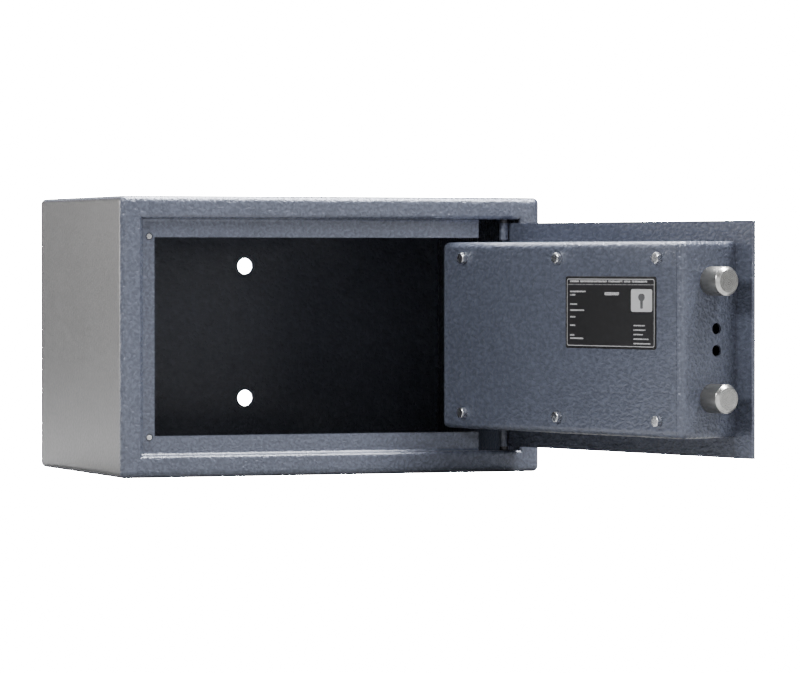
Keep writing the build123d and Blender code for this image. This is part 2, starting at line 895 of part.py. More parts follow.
save_door("bolt_bar", [bolt_bar()])
save_door("drive_plate", [drive_plate()])
save_door("upper_bolt", [locking_bolt(bolt_heights[1])])
save_door("lower_bolt", [locking_bolt(bolt_heights[0])])
save_door("bolt_screws", [bolt_screw(z) for z in bolt_heights])

save_door("lock_bolt", [lock_bolt()])
save_door("key", [key()])
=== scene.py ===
import json
import math

import bpy
import numpy as np
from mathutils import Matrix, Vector


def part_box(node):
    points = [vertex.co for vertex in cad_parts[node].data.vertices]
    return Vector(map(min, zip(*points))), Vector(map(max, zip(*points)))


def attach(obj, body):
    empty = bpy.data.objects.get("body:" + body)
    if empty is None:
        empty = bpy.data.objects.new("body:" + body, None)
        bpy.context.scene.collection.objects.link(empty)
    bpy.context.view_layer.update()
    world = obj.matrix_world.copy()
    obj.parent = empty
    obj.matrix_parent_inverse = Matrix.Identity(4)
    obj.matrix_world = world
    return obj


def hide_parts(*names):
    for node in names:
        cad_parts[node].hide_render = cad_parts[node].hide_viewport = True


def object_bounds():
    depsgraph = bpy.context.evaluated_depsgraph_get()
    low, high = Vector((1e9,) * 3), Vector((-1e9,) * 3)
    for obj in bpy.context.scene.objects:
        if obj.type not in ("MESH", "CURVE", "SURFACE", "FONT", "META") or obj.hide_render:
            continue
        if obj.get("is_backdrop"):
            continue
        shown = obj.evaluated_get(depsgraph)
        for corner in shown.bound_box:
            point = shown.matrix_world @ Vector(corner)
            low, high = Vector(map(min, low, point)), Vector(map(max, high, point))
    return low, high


bl_info = {
    "name": "Wall safe",
    "version": (1, 0, 0),
    "blender": (4, 5, 0),
    "location": "View3D > Sidebar > Safe",
    "description": "Finishes and fine pieces of a small wall safe with a boxed bolt work",
    "category": "Add Mesh",
}

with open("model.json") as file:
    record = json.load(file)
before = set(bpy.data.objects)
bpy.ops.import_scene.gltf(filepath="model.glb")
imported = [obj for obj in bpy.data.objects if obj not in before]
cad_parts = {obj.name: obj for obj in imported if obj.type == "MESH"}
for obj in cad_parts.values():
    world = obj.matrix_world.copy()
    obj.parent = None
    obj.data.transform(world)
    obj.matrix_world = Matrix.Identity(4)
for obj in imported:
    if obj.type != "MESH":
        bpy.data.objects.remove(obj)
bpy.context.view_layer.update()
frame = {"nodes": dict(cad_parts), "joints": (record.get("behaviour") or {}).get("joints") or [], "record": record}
MM = 0.001
# strength at which floor and surroundings show as plain white
PLAIN_WHITE = 60.0


def joint_named(name):
    """The joint of that name in the frame."""
    return next(joint for joint in frame["joints"] if joint["name"] == name)


# Directions of the open door at rest: along it towards the hinge, from its front to its back, up.
ACROSS = np.array(joint_named("bolt_slide")["axis"])
INTO = np.array(joint_named("knob_turn")["axis"])
UP = np.array((0.0, 0.0, 1.0))
DOOR_TURN = math.atan2(ACROSS[1], ACROSS[0])


def span(node, axis):
    """Lowest and highest place of a CAD node along an axis."""
    mesh = frame["nodes"][node].data
    places = np.empty(len(mesh.vertices) * 3)
    mesh.vertices.foreach_get("co", places)
    along = places.reshape(-1, 3) @ axis
    return float(along.min()), float(along.max())


def door_points(across, into, up):
    """Points of the door from three arrays: along it, into it and up."""
    across, into, up = np.broadcast_arrays(across, into, up)
    return across[..., None] * ACROSS + into[..., None] * INTO + up[..., None] * UP


# ---- settings ----


class SafePaintSettings(bpy.types.PropertyGroup):
    """Hammered stoving paint of body, door and cover."""

    colour: bpy.props.FloatVectorProperty(
        name="Paint", description="Mid tone of the paint", subtype="COLOR", default=(0.074, 0.084, 0.116)
    )
    sheet: bpy.props.FloatVectorProperty(
        name="Sheet", description="Smoother paint on the outer sheets", subtype="COLOR",
        default=(0.073, 0.0745, 0.081),
    )
    # Inside: a near-black colour that paints the shade in the body's cavity
    inside: bpy.props.FloatVectorProperty(
        name="Inside", description="Paint inside the body", subtype="COLOR", default=(0.03, 0.036, 0.053)
    )
    cell: bpy.props.FloatProperty(
        name="Dimple", description="Width of one dimple", unit="LENGTH", default=2.6 * MM
    )
    grain: bpy.props.FloatProperty(
        name="Grain", description="Width of one wrinkle", unit="LENGTH", default=2.1 * MM
    )
    run: bpy.props.FloatProperty(
        name="Run", description="How much longer than high a wrinkle on the door is", default=1.9
    )
    relief: bpy.props.FloatProperty(
        name="Relief", description="Depth of the dimples", unit="LENGTH", default=0.75 * MM
    )


class SafeMetalSettings(bpy.types.PropertyGroup):
    """Bare and plated metals."""

    zinc: bpy.props.FloatVectorProperty(
        name="Zinc", description="Bright zinc plate", subtype="COLOR", default=(0.62, 0.63, 0.65)
    )
    steel: bpy.props.FloatVectorProperty(
        name="Steel", description="Turned steel", subtype="COLOR", default=(0.5, 0.5, 0.49)
    )
    brass: bpy.props.FloatVectorProperty(
        name="Brass", description="Machined brass", subtype="COLOR", default=(0.62, 0.45, 0.2)
    )
    chrome: bpy.props.FloatVectorProperty(
        name="Chrome", description="Satin chrome", subtype="COLOR", default=(0.68, 0.68, 0.7)
    )


class SafeLabelSettings(bpy.types.PropertyGroup):
    """Data plate on the cover."""

    film: bpy.props.FloatVectorProperty(
        name="Film", description="Black film", subtype="COLOR", default=(0.008, 0.008, 0.009)
    )
    silver: bpy.props.FloatVectorProperty(
        name="Print", description="Silver print", subtype="COLOR", default=(0.36, 0.36, 0.37)
    )
    border: bpy.props.FloatProperty(
        name="Border", description="Distance of the border line from the edge", unit="LENGTH",
        default=1.6 * MM,
    )


class SafeStageSettings(bpy.types.PropertyGroup):
    """Camera, lights and floor."""

    place: bpy.props.FloatVectorProperty(
        name="Camera", description="Camera position", subtype="XYZ", unit="LENGTH",
        default=(-1.10517, -3.12767, 0.15181),
    )
    turn: bpy.props.FloatProperty(
        name="Turn", description="Camera turn to the right", subtype="ANGLE", default=0.3646
    )
    dip: bpy.props.FloatProperty(
        name="Dip", description="Camera tilt down", subtype="ANGLE", default=0.0162
    )
    lens: bpy.props.FloatProperty(
        name="Lens", description="Focal length on a 36 mm sensor, in millimetres", default=202.1
    )
    floor: bpy.props.FloatVectorProperty(
        name="Floor", description="Floor colour", subtype="COLOR", default=(0.24, 0.24, 0.24)
    )


# ---- node helpers ----


def add(tree, kind, sockets=None, **settings):
    """A node with its settings; a socket value is a link if it is another node's output."""
    made = tree.nodes.new(kind)
    for key, value in settings.items():
        setattr(made, key, value)
    for key, value in (sockets or {}).items():
        if isinstance(value, bpy.types.NodeSocket):
            tree.links.new(value, made.inputs[key])
        else:
            made.inputs[key].default_value = value
    return made


def calc(tree, operation, *values, clamp=False):
    """Result of a Math node."""
    made = add(tree, "ShaderNodeMath", dict(enumerate(values)), operation=operation, use_clamp=clamp)
    return made.outputs[0]


def vector_calc(tree, operation, *values):
    """Vector result of a Vector Math node."""
    return add(tree, "ShaderNodeVectorMath", dict(enumerate(values)), operation=operation).outputs[0]


def noise_at(tree, place, scale, detail):
    """A Noise Texture node."""
    return add(tree, "ShaderNodeTexNoise", {"Vector": place, "Scale": scale, "Detail": detail})


def ease(tree, value, low, high, start=0.0, end=1.0):
    """Smooth step of a value from low to high."""
    sockets = {"Value": value, "From Min": low, "From Max": high, "To Min": start, "To Max": end}
    return add(tree, "ShaderNodeMapRange", sockets, interpolation_type="SMOOTHSTEP").outputs[0]


def blend_colour(tree, factor, first, second):
    """Colour between first and second."""
    made = add(tree, "ShaderNodeMix", {0: factor}, data_type="RGBA")
    for index, value in ((6, first), (7, second)):
        if isinstance(value, bpy.types.NodeSocket):
            tree.links.new(value, made.inputs[index])
        else:
            made.inputs[index].default_value = (*value[:3], 1.0)
    return made.outputs[2]


def shade(colour, factor):
    """A colour made lighter or darker."""
    return tuple(min(1.0, part * factor) for part in colour)


def new_group(name, inputs, outputs):
    """An empty shader node group with named sockets, and its input and output nodes."""
    group = bpy.data.node_groups.new(name, "ShaderNodeTree")
    for label, kind in inputs:
        group.interface.new_socket(name=label, in_out="INPUT", socket_type=kind)
    for label, kind in outputs:
        group.interface.new_socket(name=label, in_out="OUTPUT", socket_type=kind)
    return group, group.nodes.new("NodeGroupInput"), group.nodes.new("NodeGroupOutput")


def place_group(tree, name, sockets):
    """A group put into a material."""
    return add(tree, "ShaderNodeGroup", sockets, node_tree=bpy.data.node_groups[name])


def new_material(name):
    """A material with an empty tree, its Principled shader and its output."""
    material = bpy.data.materials.new(name)
    material.use_nodes = True
    tree = material.node_tree
    tree.nodes.clear()
    shader = tree.nodes.new("ShaderNodeBsdfPrincipled")
    output = tree.nodes.new("ShaderNodeOutputMaterial")
    tree.links.new(shader.outputs[0], output.inputs["Surface"])
    return material, tree, shader


def set_relief(tree, shader, strength, depth, height):
    """Bump of a height on the shader's normal."""
    bump = add(tree, "ShaderNodeBump", {"Strength": strength, "Distance": depth, "Height": height})
    tree.links.new(bump.outputs[0], shader.inputs["Normal"])


# ---- shared effects ----


def build_hammer_group():
    """Dimples of hammered paint: warped cells with a fine grain on top."""
    group, inside, outside = new_group(
        "hammered_relief",
        [("Place", "NodeSocketVector"), ("Cell", "NodeSocketFloat"), ("Grain", "NodeSocketFloat")],
        [("Height", "NodeSocketFloat"), ("Tone", "NodeSocketFloat"), ("Fleck", "NodeSocketFloat")],
    )
    place, cell = inside.outputs["Place"], inside.outputs["Cell"]
    per_cell = calc(group, "DIVIDE", 1.0, cell)
    per_grain = calc(group, "DIVIDE", 1.0, inside.outputs["Grain"])
    warp = noise_at(group, place, per_cell, 2.0)
    centred = vector_calc(group, "SUBTRACT", warp.outputs["Color"], (0.5, 0.5, 0.5))
    pull = add(group, "ShaderNodeVectorMath", {0: centred, "Scale": cell}, operation="SCALE")
    warped = vector_calc(group, "ADD", place, pull.outputs[0])
    cells = add(
        group, "ShaderNodeTexVoronoi", {"Vector": warped, "Scale": per_cell, "Smoothness": 0.7},
        feature="SMOOTH_F1",
    )
    grain = add(
        group, "ShaderNodeTexNoise",
        {"Vector": warped, "Scale": per_grain, "Detail": 0.5, "Roughness": 0.4, "Distortion": 0.3},
    )
    dome = ease(group, cells.outputs["Distance"], 0.0, 1.0, 1.0, 0.0)
    pebble = ease(group, grain.outputs["Fac"], 0.27, 0.73)
    height = calc(group, "ADD", calc(group, "MULTIPLY", dome, 0.14), calc(group, "MULTIPLY", pebble, 0.36))
    patches = noise_at(group, place, 14.0, 2.0)
    tone = calc(group, "ADD", calc(group, "MULTIPLY", dome, 0.07), calc(group, "MULTIPLY", pebble, 0.5))
    tone = calc(group, "ADD", tone, calc(group, "MULTIPLY", patches.outputs["Fac"], 0.43))
    fleck = ease(group, grain.outputs["Fac"], 0.55, 0.75)
    group.links.new(height, outside.inputs["Height"])
    group.links.new(tone, outside.inputs["Tone"])
    group.links.new(fleck, outside.inputs["Fleck"])


def build_edge_group():
    """Mask of edges, worn edges on bare metal and a painted highlight on paint: where a rounded normal leaves the
    true one, broken up by noise.
    """
    group, inside, outside = new_group(
        "edge_wear_and_highlight",
        [("Place", "NodeSocketVector"), ("Width", "NodeSocketFloat")],
        [("Edge", "NodeSocketFloat")],
    )
    rounded = add(group, "ShaderNodeBevel", {"Radius": inside.outputs["Width"]}, samples=4)
    true = add(group, "ShaderNodeNewGeometry")
    match = add(
        group, "ShaderNodeVectorMath", {0: rounded.outputs[0], 1: true.outputs["Normal"]},
        operation="DOT_PRODUCT",
    )
    noise = noise_at(group, inside.outputs["Place"], 320.0, 3.0)
    edge = ease(group, match.outputs["Value"], 0.97, 0.8)
    sheen_and_wear_mask = calc(group, "MULTIPLY", edge, ease(group, noise.outputs["Fac"], 0.35, 0.65))
    group.links.new(sheen_and_wear_mask, outside.inputs["Edge"])


def build_brushed_group():
    """Fine lines along one axis, from noise stretched along it."""
    group, inside, outside = new_group(
        "brushed_lines",
        [("Place", "NodeSocketVector"), ("Stretch", "NodeSocketVector"), ("Turn", "NodeSocketVector")],
        [("Lines", "NodeSocketFloat"), ("Smudge", "NodeSocketFloat")],
    )
    place, turn, stretch = (inside.outputs[label] for label in ("Place", "Turn", "Stretch"))
    turned = add(group, "ShaderNodeMapping", {"Vector": place, "Rotation": turn, "Scale": stretch})
    lines = noise_at(group, turned.outputs[0], 1.0, 4.0)
    smudge = noise_at(group, place, 60.0, 3.0)
    group.links.new(lines.outputs["Fac"], outside.inputs["Lines"])
    group.links.new(smudge.outputs["Fac"], outside.inputs["Smudge"])


def build_bar_group():
    """Mask of one printed bar with round corners, joined to the mask before it."""
    group, inside, outside = new_group(
        "printed_bar",
        [("Place", "NodeSocketVector"), ("Middle", "NodeSocketVector"), ("Half", "NodeSocketVector"),
         ("Corner", "NodeSocketFloat"), ("Before", "NodeSocketFloat")],
        [("Print", "NodeSocketFloat")],
    )
    off = vector_calc(group, "SUBTRACT", inside.outputs["Place"], inside.outputs["Middle"])
    past = vector_calc(group, "SUBTRACT", vector_calc(group, "ABSOLUTE", off), inside.outputs["Half"])
    shifted = vector_calc(group, "ADD", past, inside.outputs["Corner"])
    only_out = vector_calc(group, "MAXIMUM", shifted, (0.0, 0.0, 0.0))
    reach = add(group, "ShaderNodeVectorMath", {0: only_out}, operation="LENGTH")
    beyond = calc(group, "SUBTRACT", reach.outputs["Value"], inside.outputs["Corner"])
    bar = ease(group, beyond, -0.04, 0.04, 1.0, 0.0)
    group.links.new(calc(group, "MAXIMUM", bar, inside.outputs["Before"]), outside.inputs["Print"])


# ---- materials ----


def object_place(tree):
    """Object coordinates."""
    return add(tree, "ShaderNodeTexCoord").outputs["Object"]


def make_paint(name, settings, on_body):
    """Blue-grey hammered paint with lightened edges, a painted highlight on the door and faint on the body; on the
    body it is smoother on the outer sheets and nearly black inside, as painted shade of the cavity.
    """
    material, tree, shader = new_material(name)
    place = object_place(tree)
    if on_body:
        laid = place
    else:
        # the wrinkles run longer along the door than up it
        laid = add(
            tree, "ShaderNodeMapping",
            {"Vector": place, "Rotation": (0.0, 0.0, DOOR_TURN), "Scale": (settings.run, 1.0, 1.0)},
            vector_type="TEXTURE",
        ).outputs[0]
    relief = place_group(
        tree, "hammered_relief", {"Place": laid, "Cell": settings.cell, "Grain": settings.grain}
    )
    edge_sheen_and_wear = place_group(tree, "edge_wear_and_highlight", {"Place": place, "Width": 0.8 * MM})
    colour = tuple(settings.colour)
    painted = blend_colour(tree, relief.outputs["Tone"], shade(colour, 0.72), shade(colour, 1.25))
    fleck = calc(tree, "MULTIPLY", relief.outputs["Fleck"], 0.12)
    painted = blend_colour(tree, fleck, painted, shade(colour, 1.8))
    # lightened edges: a painted highlight along the door's edges and the cover's bend, and only a faint lightening
    # on the body
    most_edge_highlight = 0.08 if on_body else 0.45
    sheen_and_wear_mask = calc(tree, "MULTIPLY", edge_sheen_and_wear.outputs["Edge"], most_edge_highlight)
    painted = blend_colour(tree, sheen_and_wear_mask, painted, shade(colour, 2.0))
    rough = calc(tree, "MULTIPLY_ADD", relief.outputs["Tone"], 0.12, 0.28)
    height = relief.outputs["Height"]
    if on_body:
        sheet = sheet_mask(tree, place)
        sheet_colour = tuple(settings.sheet)
        plain = blend_colour(
            tree, relief.outputs["Tone"], shade(sheet_colour, 0.92), shade(sheet_colour, 1.08)
        )
        painted = blend_colour(tree, sheet, painted, plain)
        height = calc(tree, "MULTIPLY", height, calc(tree, "MULTIPLY_ADD", sheet, -0.85, 1.0))
        # the cavity is coloured near-black: painted shade where the inside of the body lies in shadow; it is also
        # rougher there
        painted_inside_shade = inside_shade_mask(tree, place)
        painted = blend_colour(tree, painted_inside_shade, painted, tuple(settings.inside))
        rough = calc(tree, "MULTIPLY_ADD", painted_inside_shade, 0.2, rough)
    else:
        rim = plate_rim_mask(tree, place)
        height = calc(tree, "MULTIPLY", height, calc(tree, "MULTIPLY_ADD", rim, -0.9, 1.0))
    tree.links.new(painted, shader.inputs["Base Color"])
    tree.links.new(rough, shader.inputs["Roughness"])
    shader.inputs["Metallic"].default_value = 0.3
    shader.inputs["Coat Weight"].default_value = 0.3
    shader.inputs["Coat Roughness"].default_value = 0.22
    set_relief(tree, shader, 1.0, settings.relief, height)
    return material


def plate_rim_mask(tree, place):
    """1 on the cut edges at the top and the bottom of the door plate."""
    low, high = span("door_plate", UP)
    parts = add(tree, "ShaderNodeSeparateXYZ", {0: place})
    middle, half = (low + high) / 2, (high - low) / 2
    off = calc(tree, "ABSOLUTE", calc(tree, "SUBTRACT", parts.outputs[2], middle))
    return ease(tree, off, half - 0.4 * MM, half - 0.1 * MM)


def sheet_mask(tree, place):
    """1 on the two sides, the top and the underside of the body, behind its rounded front edge."""
    low, high = (np.array(corner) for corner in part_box("body_shell"))
    parts = add(tree, "ShaderNodeSeparateXYZ", {0: place})
    skin_depth = 0.4 * MM
    masks = []
    for index in (0, 2):
        middle, half = (high[index] + low[index]) / 2, (high[index] - low[index]) / 2
        off = calc(tree, "ABSOLUTE", calc(tree, "SUBTRACT", parts.outputs[index], middle))
        masks.append(ease(tree, off, half - 2 * skin_depth, half - skin_depth))
    front_edge = 5.0 * MM
    behind = ease(tree, parts.outputs[1], low[1] + 0.7 * front_edge, low[1] + front_edge)
    return calc(tree, "MULTIPLY", calc(tree, "MAXIMUM", masks[0], masks[1]), behind)


def inside_shade_mask(tree, place):
    """Mask of the painted shade inside the body: 1 in the space behind the front frame and inside the walls, where
    only body nodes reach.
    """
    low, high = (np.array(corner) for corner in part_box("back_panel"))
    front = span("stop_brackets", np.array((0.0, 1.0, 0.0)))[0]
    parts = add(tree, "ShaderNodeSeparateXYZ", {0: place})
    slack = 0.1 * MM

    def between(index, start, end):
        """1 between two places on one axis."""
        return calc(tree, "COMPARE", parts.outputs[index], (start + end) / 2, (end - start) / 2)

    sides = between(0, low[0] - slack, high[0] + slack)
    heights = between(2, low[2] - slack, high[2] + slack)
    depths = between(1, front - 1.0 * MM, low[1] + slack)
    return calc(tree, "MULTIPLY", sides, calc(tree, "MULTIPLY", heights, depths))


def make_metal(name, colour, stretch, roughness, relief, turn=0.0):
    """Bare metal with fine lines, smudges and brighter worn edges."""
    material, tree, shader = new_material(name)
    place = object_place(tree)
    brushed = place_group(
        tree, "brushed_lines", {"Place": place, "Stretch": stretch, "Turn": (0.0, 0.0, -turn)}
    )
    edge_sheen_and_wear = place_group(tree, "edge_wear_and_highlight", {"Place": place, "Width": 0.3 * MM})
    base = blend_colour(tree, brushed.outputs["Smudge"], shade(colour, 0.8), shade(colour, 1.1))
    base = blend_colour(tree, calc(tree, "MULTIPLY", edge_sheen_and_wear.outputs["Edge"], 0.6), base, shade(colour, 1.35))
    tree.links.new(base, shader.inputs["Base Color"])
    rough = calc(tree, "MULTIPLY_ADD", brushed.outputs["Lines"], 0.16, roughness - 0.08)
    rough = calc(tree, "MULTIPLY_ADD", brushed.outputs["Smudge"], 0.12, rough)
    tree.links.new(rough, shader.inputs["Roughness"])
    shader.inputs["Metallic"].default_value = 1.0
    set_relief(tree, shader, 0.4, relief, brushed.outputs["Lines"])
    return material


def make_turned_steel(colour, shaft_start):
    """Turned steel: rings by the way along the outline, bright on end and chamfer, dull on the shaft."""
    material, tree, shader = new_material("turned_bolt_steel")
    ring = add(tree, "ShaderNodeAttribute", attribute_name="ring").outputs["Fac"]
    per_ring = calc(tree, "MULTIPLY", ring, 2400.0)
    rings = add(
        tree, "ShaderNodeTexNoise", {"W": per_ring, "Scale": 1.0, "Detail": 2.0}, noise_dimensions="1D"
    )
    smudge = noise_at(tree, object_place(tree), 90.0, 4.0)
    base = blend_colour(tree, smudge.outputs["Fac"], shade(colour, 0.82), shade(colour, 1.12))
    base = blend_colour(tree, calc(tree, "MULTIPLY", rings.outputs["Fac"], 0.25), base, shade(colour, 0.6))
    shaft = ease(tree, ring, shaft_start, shaft_start + 0.4 * MM)
    base = blend_colour(tree, calc(tree, "MULTIPLY", shaft, 0.75), base, shade(colour, 0.3))
    tree.links.new(base, shader.inputs["Base Color"])
    rough = calc(tree, "MULTIPLY_ADD", shaft, 0.12, 0.16)
    rough = calc(tree, "MULTIPLY_ADD", rings.outputs["Fac"], 0.14, rough)
    rough = calc(tree, "MULTIPLY_ADD", smudge.outputs["Fac"], 0.12, rough)
    tree.links.new(rough, shader.inputs["Roughness"])
    shader.inputs["Metallic"].default_value = 1.0
    set_relief(tree, shader, 0.3, 0.02 * MM, rings.outputs["Fac"])
    return material


# Printed bars in millimetres from the middle of the plate: across, up, half width, half height, corner.
# A row is its height on the plate and its length; the rows and the title start at the same left edge.
ROW_START, NOTE_START, WORD_GAP = -45.0, 25.6, 1.4
ROW_LENGTHS = [
    (14.5, 17.5), (12.1, 6.0), (5.6, 8.0), (1.4, 16.0),
    (-3.2, 6.0), (-9.1, 6.0), (-15.9, 5.0), (-18.2, 15.0),
]
LABEL_ROWS = [(ROW_START + length / 2, up, length / 2, 0.5, 0.3) for up, length in ROW_LENGTHS]
NOTE_LENGTHS = (12.5, 13.0, 10.5, 16.5, 18.5)
LABEL_NOTES = [
    (NOTE_START + length / 2, -8.6 - 3.1 * row, length / 2, 0.42, 0.3)
    for row, length in enumerate(NOTE_LENGTHS)
]
TITLE_LENGTHS = (10.0, 30.0, 16.0, 7.0, 17.0)
LABEL_TITLE = [
    (ROW_START + sum(TITLE_LENGTHS[:word]) + WORD_GAP * word + length / 2, 21.6, length / 2, 0.62, 0.3)
    for word, length in enumerate(TITLE_LENGTHS)
]
LABEL_VALUE = [(1.8, 13.1, 8.0, 1.05, 0.4)]
LABEL_PATCH = (34.4, 8.6, 11.5, 7.8, 1.6)
LABEL_SIGN = [(34.4, 10.8, 3.6, 2.5, 2.5), (34.4, 6.6, 1.5, 3.6, 0.6)]


def make_label(settings):
    """Black film with a silver border, header strip, generic rows and a bright patch with a keyhole."""
    material, tree, shader = new_material("label_film")
    place = add(tree, "ShaderNodeAttribute", attribute_name="place").outputs["Vector"]
    low, high = span("data_plate", ACROSS), span("data_plate", UP)
    half_width = (low[1] - low[0]) / 2 / MM
    half_height = (high[1] - high[0]) / 2 / MM

    def printed(bars):
        """Mask of all bars of a list."""
        mask = 0.0
        for across, up, half_across, half_up, corner in bars:
            group = place_group(
                tree, "printed_bar",
                {"Place": place, "Middle": (across, up, 0.0), "Half": (half_across, half_up, 50.0),
                 "Corner": corner, "Before": mask},
            )
            mask = group.outputs["Print"]
        return mask

    inset = settings.border / MM
    line = 0.5
    outer = printed([(0.0, 0.0, half_width - inset, half_height - inset, 1.6)])
    inner = printed([(0.0, 0.0, half_width - inset - line, half_height - inset - line, 1.4)])
    border = calc(tree, "SUBTRACT", outer, inner)
    rule = (0.0, 19.4, half_width - inset, line / 2, 0.0)
    rows = printed(LABEL_ROWS + LABEL_TITLE + LABEL_VALUE + LABEL_NOTES + [rule])
    gaps = ease(tree, noise_at(tree, place, 1.1, 1.0).outputs["Fac"], 0.36, 0.5)
    rows = calc(tree, "MULTIPLY", rows, calc(tree, "MULTIPLY_ADD", gaps, 0.75, 0.25))
    patch = printed([LABEL_PATCH])
    sign = printed(LABEL_SIGN)
    silver = tuple(settings.silver)
    film = tuple(settings.film)
    base = blend_colour(tree, outer, shade(film, 0.5), film)
    base = blend_colour(tree, calc(tree, "MAXIMUM", border, rows), base, silver)
    base = blend_colour(tree, patch, base, shade(silver, 1.4))
    base = blend_colour(tree, calc(tree, "MULTIPLY", sign, 0.85), base, shade(film, 4.0))
    tree.links.new(base, shader.inputs["Base Color"])
    scuff = noise_at(tree, place, 0.35, 4.0)
    tree.links.new(calc(tree, "MULTIPLY_ADD", scuff.outputs["Fac"], 0.2, 0.34), shader.inputs["Roughness"])
    tree.links.new(calc(tree, "MULTIPLY", patch, 0.5), shader.inputs["Metallic"])
    shader.inputs["Specular IOR Level"].default_value = 0.35
    return material


# ---- surfaces ----


def new_piece(name, points, quads, caps, body, material, attributes=None):
    """A closed mesh of quads and end triangles, on its body and in its slot, with its faces outwards.

    They are outwards where the sum of (middle of quad - middle of piece) dot (diagonal cross diagonal)
    is positive.
    """
    across = np.cross(points[quads[:, 2]] - points[quads[:, 0]], points[quads[:, 3]] - points[quads[:, 1]])
    out = points[quads].mean(axis=1) - points.mean(axis=0)
    if np.einsum("ij,ij->i", out, across).sum() < 0:
        quads, caps = quads[:, ::-1], caps[:, ::-1]
    mesh = bpy.data.meshes.new(name)
    mesh.from_pydata(points.tolist(), [], quads.tolist() + caps.tolist())
    for label, (kind, values) in (attributes or {}).items():
        store = mesh.attributes.new(label, kind, "POINT")
        store.data.foreach_set("value" if kind == "FLOAT" else "vector", values.astype(np.float32).ravel())
    mesh.materials.append(material)
    mesh.validate()
    piece = bpy.data.objects.new(name, mesh)
    bpy.context.scene.collection.objects.link(piece)
    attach(piece, body)
    return piece


def skin(name, rings, body, material, attributes=None):
    """Closed surface through rings of points (rings, points, 3); the first and last ring are poles.

    Neighbouring rings are joined by quads and the poles by triangles. An attribute is its kind and its
    values on the same rings.
    """

    def flat(values):
        """Values of all rings in one row, with one value for each pole."""
        return np.concatenate([values[:1, 0], values[1:-1].reshape(-1, *values.shape[2:]), values[-1:, 0]])

    count, around = rings.shape[:2]
    step = np.arange(around)
    after = (step + 1) % around
    row = np.arange(count - 3)[:, None] * around + 1
    quads = np.stack([row + step, row + after, row + around + after, row + around + step], axis=-1)
    end_row = 1 + (count - 3) * around
    pole = np.full(around, end_row + around)
    caps = np.concatenate([
        np.stack([0 * step, 1 + after, 1 + step], axis=-1),
        np.stack([pole, end_row + step, end_row + after], axis=-1),
    ])
    laid = {label: (kind, flat(values)) for label, (kind, values) in (attributes or {}).items()}
    return new_piece(name, flat(rings), quads.reshape(-1, 4), caps, body, material, laid)


def loop_skin(name, grid, body, material):
    """Closed surface from a grid of points (rings, points, 3) that joins up both ways, as a ring does."""
    count, around = grid.shape[:2]
    index = np.arange(count * around).reshape(count, around)
    beside, above = np.roll(index, -1, 1), np.roll(index, -1, 0)
    quads = np.stack([index, beside, np.roll(above, -1, 1), above], axis=-1).reshape(-1, 4)
    no_caps = np.empty((0, 3), int)
    return new_piece(name, grid.reshape(-1, 3), quads, no_caps, body, material)


def smooth(piece, angle=35.0):
    """Smooth shading that keeps edges sharper than the angle."""
    mesh = piece.data
    mesh.polygons.foreach_set("use_smooth", np.ones(len(mesh.polygons), bool))
    mesh.set_sharp_from_angle(angle=math.radians(angle))
    return piece


def rounded_outline(width, height, radius, per_corner=8):
    """Outline of a rectangle with round corners: four quarter circles about the corner centres."""
    quarter = np.linspace(0.0, math.pi / 2, per_corner)
    turn = np.concatenate([quarter + k * math.pi / 2 for k in range(4)])
    sides = np.repeat(np.array([(1, 1), (-1, 1), (-1, -1), (1, -1)]), per_corner, axis=0)
    x = sides[:, 0] * (width / 2 - radius) + radius * np.cos(turn)
    y = sides[:, 1] * (height / 2 - radius) + radius * np.sin(turn)
    return x, y


def signed_power(values, power):
    """Power of the size of each value, with the value's sign: it squares off a circle."""
    return np.sign(values) * np.abs(values) ** power


def hexagon_outline(flats, per_side=6):
    """Outline of a hexagon of that width across flats: radius flats/2 over cos of the angle to the flat."""
    turn = np.linspace(0.0, 2 * math.pi, 6 * per_side, endpoint=False)
    to_flat = (turn + math.pi / 6) % (math.pi / 3) - math.pi / 6
    radius = flats / 2 / np.cos(to_flat)
    return radius * np.cos(turn), radius * np.sin(turn)


def paint_nodes(names, material):
    """Gives CAD nodes a material."""
    for name in names:
        mesh = frame["nodes"][name].data
        mesh.materials.clear()
        mesh.materials.append(material)


# ---- operators ----


